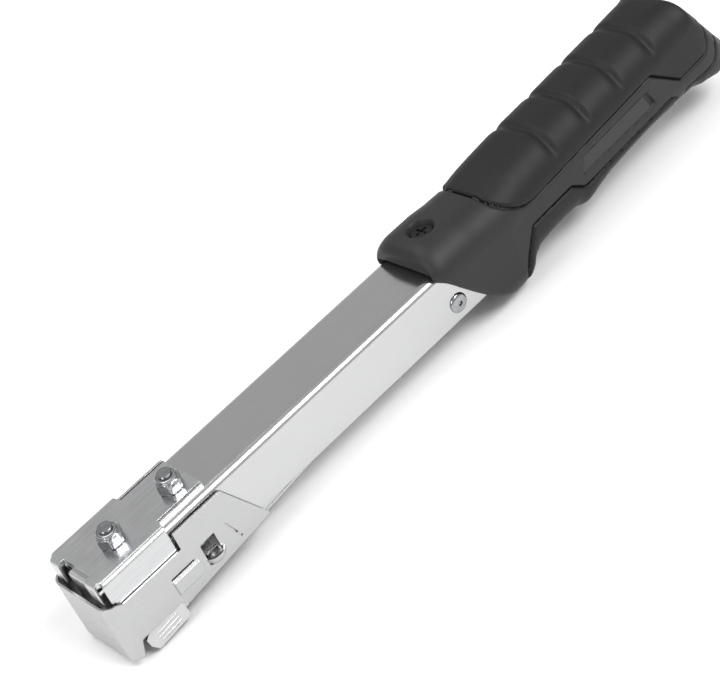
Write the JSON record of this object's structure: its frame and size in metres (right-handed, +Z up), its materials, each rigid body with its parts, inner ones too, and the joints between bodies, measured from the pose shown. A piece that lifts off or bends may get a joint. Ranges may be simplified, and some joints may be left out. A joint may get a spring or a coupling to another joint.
{
  "type": "hammer tacker",
  "caption": "Hammer-action staple tacker: a chromed channel body with a rubber grip swings down on a hinged magazine and drives staples at the nose.",
  "frame": {"origin": "centre of the strike face under the nose, where the staple comes out, with the tool at rest", "axes": "+X along the spine from the nose to the butt, +Y across the tool to its right-hand side, +Z up, from the strike face to the spine"},
  "size_m": [0.315, 0.0368, 0.0497],
  "materials": {
    "chrome_sheet": "satin chrome plated sheet",
    "saddle_steel": "plated plate with sheared edges",
    "hard_steel": "hardened and ground",
    "zinc_steel": "bright zinc",
    "plain_steel": "plain pressed steel",
    "spring_steel": "drawn wire",
    "latch_steel": "bright spring steel",
    "dark_steel": "blackened",
    "hard_plastic": "moulded, fine texture",
    "soft_rubber": "matt, fine texture",
    "label_plastic": "plain and smooth"
  },
  "bodies": {
    "striker": {"body_channel": "chrome_sheet", "head_saddle": "saddle_steel", "driver_blade": "hard_steel", "saddle_bolts": "zinc_steel", "lock_nuts": "zinc_steel", "pivot_rivet": "zinc_steel", "handle_core": "hard_plastic", "butt_cap": "hard_plastic", "top_grip": "soft_rubber", "lower_grip": "soft_rubber", "label_plate_left": "label_plastic", "label_plate_right": "label_plastic", "handle_screw": "dark_steel", "handle_nut": "zinc_steel"},
    "magazine": {"magazine_frame": "chrome_sheet", "staple_channel": "plain_steel", "nose_block": "hard_steel", "nose_housing": "chrome_sheet", "spring_seat": "plain_steel", "return_spring": "spring_steel"},
    "rail": {"staple_rail": "plain_steel", "rail_base": "chrome_sheet", "guide_rod": "plain_steel", "rod_block": "plain_steel", "pusher_spring": "spring_steel"},
    "pusher": {"pusher": "plain_steel"},
    "latch_left": {"latch_left": "latch_steel"},
    "latch_right": {"latch_right": "latch_steel"}
  },
  "joints": [
    {"name": "magazine_swing", "type": "hinge", "parent": "striker", "child": "magazine", "pos_m": [0.15897, 0, 0.01824], "axis": [0, 1, 0], "range_deg": [0, 4.3], "stiffness_Nm_per_rad": 6, "springref_deg": -6.88, "deforming": ["return_spring"]},
    {"name": "rail_swing", "type": "hinge", "parent": "magazine", "child": "rail", "pos_m": [0.15897, 0, 0.01824], "axis": [0, 1, 0], "range_deg": [-28, 0]},
    {"name": "pusher_slide", "type": "slide", "parent": "rail", "child": "pusher", "axis": [0.9947, 0, 0.1028], "range_m": [0, 0.1], "stiffness_N_per_m": 60, "springref_m": -0.05, "deforming": ["pusher_spring"]},
    {"name": "latch_left_press", "type": "hinge", "parent": "rail", "child": "latch_left", "pos_m": [0.01978, -0.008, 0.00315], "axis": [0.9947, 0, 0.1028], "range_deg": [-8, 0], "stiffness_Nm_per_rad": 0.5, "springref_deg": 2.86},
    {"name": "latch_right_press", "type": "hinge", "parent": "rail", "child": "latch_right", "pos_m": [0.01978, 0.008, 0.00315], "axis": [0.9947, 0, 0.1028], "range_deg": [0, 8], "stiffness_Nm_per_rad": 0.5, "springref_deg": -2.86}
  ]
}
